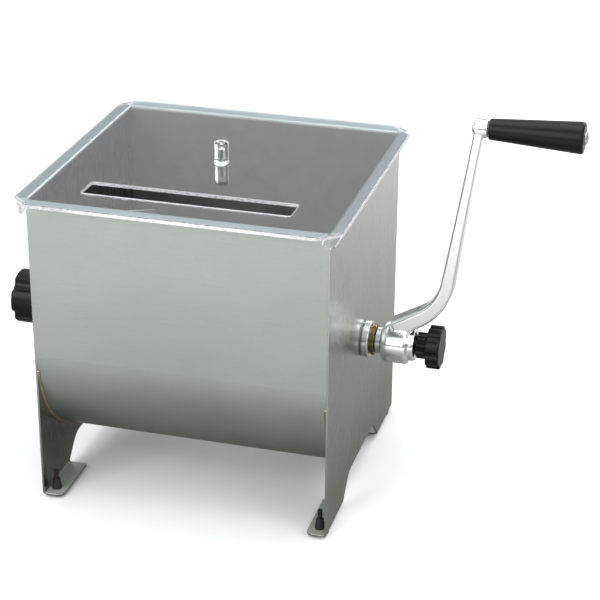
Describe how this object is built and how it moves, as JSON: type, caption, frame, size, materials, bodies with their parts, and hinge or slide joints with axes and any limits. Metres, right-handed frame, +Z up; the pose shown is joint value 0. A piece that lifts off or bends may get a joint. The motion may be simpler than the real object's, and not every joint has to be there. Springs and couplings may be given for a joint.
{
  "type": "hand-crank meat mixer",
  "caption": "Table-top meat mixer: U-shaped stainless tub on end-plate legs, clear slotted lid, paddle shaft turned by a side crank with a black grip and star knobs.",
  "frame": {"origin": "on the floor, within 1 mm of under the middle of the whole machine's bounding box (the tub's middle is 53 mm towards -X)", "axes": "+X along the crank axis from the tub towards the crank, -Y the front with the lid's slot, +Z up"},
  "size_m": [0.4743, 0.255, 0.3264],
  "materials": {
    "stainless_tub": "fine matte-brushed stainless sheet",
    "stainless_plate": "fine matte-brushed stainless plate",
    "clear_plastic": "clear polished acrylic",
    "rubber": "matte black rubber",
    "turned_steel": "turned stainless steel, fine lathe marks",
    "paddle_steel": "brushed stainless strip",
    "bronze": "dark turned bronze",
    "cast_aluminium": "bright polished cast aluminium",
    "black_plastic": "satin black moulded plastic"
  },
  "bodies": {
    "tub": {"tub_shell": "stainless_tub", "end_plate_left": "stainless_plate", "end_plate_right": "stainless_plate", "rubber_foot_front_left": "rubber", "rubber_foot_front_right": "rubber", "rubber_foot_back_left": "rubber", "rubber_foot_back_right": "rubber", "right_bushing": "turned_steel", "right_bushing_nut": "turned_steel", "bearing_sleeve": "bronze", "left_bushing": "turned_steel", "left_bushing_nut": "turned_steel"},
    "lid": {"lid": "clear_plastic", "lid_knob": "clear_plastic", "lid_knob_screw": "clear_plastic"},
    "rotor": {"mixing_shaft": "turned_steel", "paddle_arm_1": "paddle_steel", "paddle_arm_2": "paddle_steel", "paddle_arm_3": "paddle_steel", "paddle_arm_4": "paddle_steel", "paddle_blade_1": "paddle_steel", "paddle_blade_2": "paddle_steel", "paddle_blade_3": "paddle_steel", "paddle_blade_4": "paddle_steel", "thrust_collar": "turned_steel", "crank_arm": "cast_aluminium", "grip_pin": "turned_steel"},
    "grip": {"grip": "black_plastic"},
    "clamp_stud": {"clamp_stud": "turned_steel"},
    "clamp_knob": {"clamp_knob": "black_plastic"},
    "left_pin": {"left_pin": "turned_steel"},
    "left_knob": {"left_knob": "black_plastic"}
  },
  "joints": [
    {"name": "crank_turn", "type": "hinge", "parent": "tub", "child": "rotor", "pos_m": [-0.053, 0, 0.1245], "axis": [1, 0, 0], "continuous": true},
    {"name": "grip_spin", "type": "hinge", "parent": "rotor", "child": "grip", "pos_m": [0.2, 0, 0.314], "axis": [1, 0, 0], "continuous": true},
    {"name": "lid_lift", "type": "slide", "parent": "tub", "child": "lid", "axis": [0, 0, 1], "range_m": [0, 0.15]},
    {"name": "clamp_stud_travel", "type": "slide", "parent": "rotor", "child": "clamp_stud", "axis": [1, 0, 0], "range_m": [0, 0.0105]},
    {"name": "clamp_knob_turn", "type": "hinge", "parent": "clamp_stud", "child": "clamp_knob", "pos_m": [0.11, 0, 0.1245], "axis": [1, 0, 0], "range_deg": [0, 2880]},
    {"name": "left_pin_travel", "type": "slide", "parent": "tub", "child": "left_pin", "axis": [-1, 0, 0], "range_m": [0, 0.018]},
    {"name": "left_knob_turn", "type": "hinge", "parent": "left_pin", "child": "left_knob", "pos_m": [-0.2, 0, 0.1245], "axis": [-1, 0, 0], "range_deg": [0, 3600]}
  ],
  "couplings": [
    {"joint": "clamp_stud_travel", "follows": "clamp_knob_turn", "m_per_rad": 0.00019894},
    {"joint": "left_pin_travel", "follows": "left_knob_turn", "m_per_rad": 0.00027852}
  ]
}
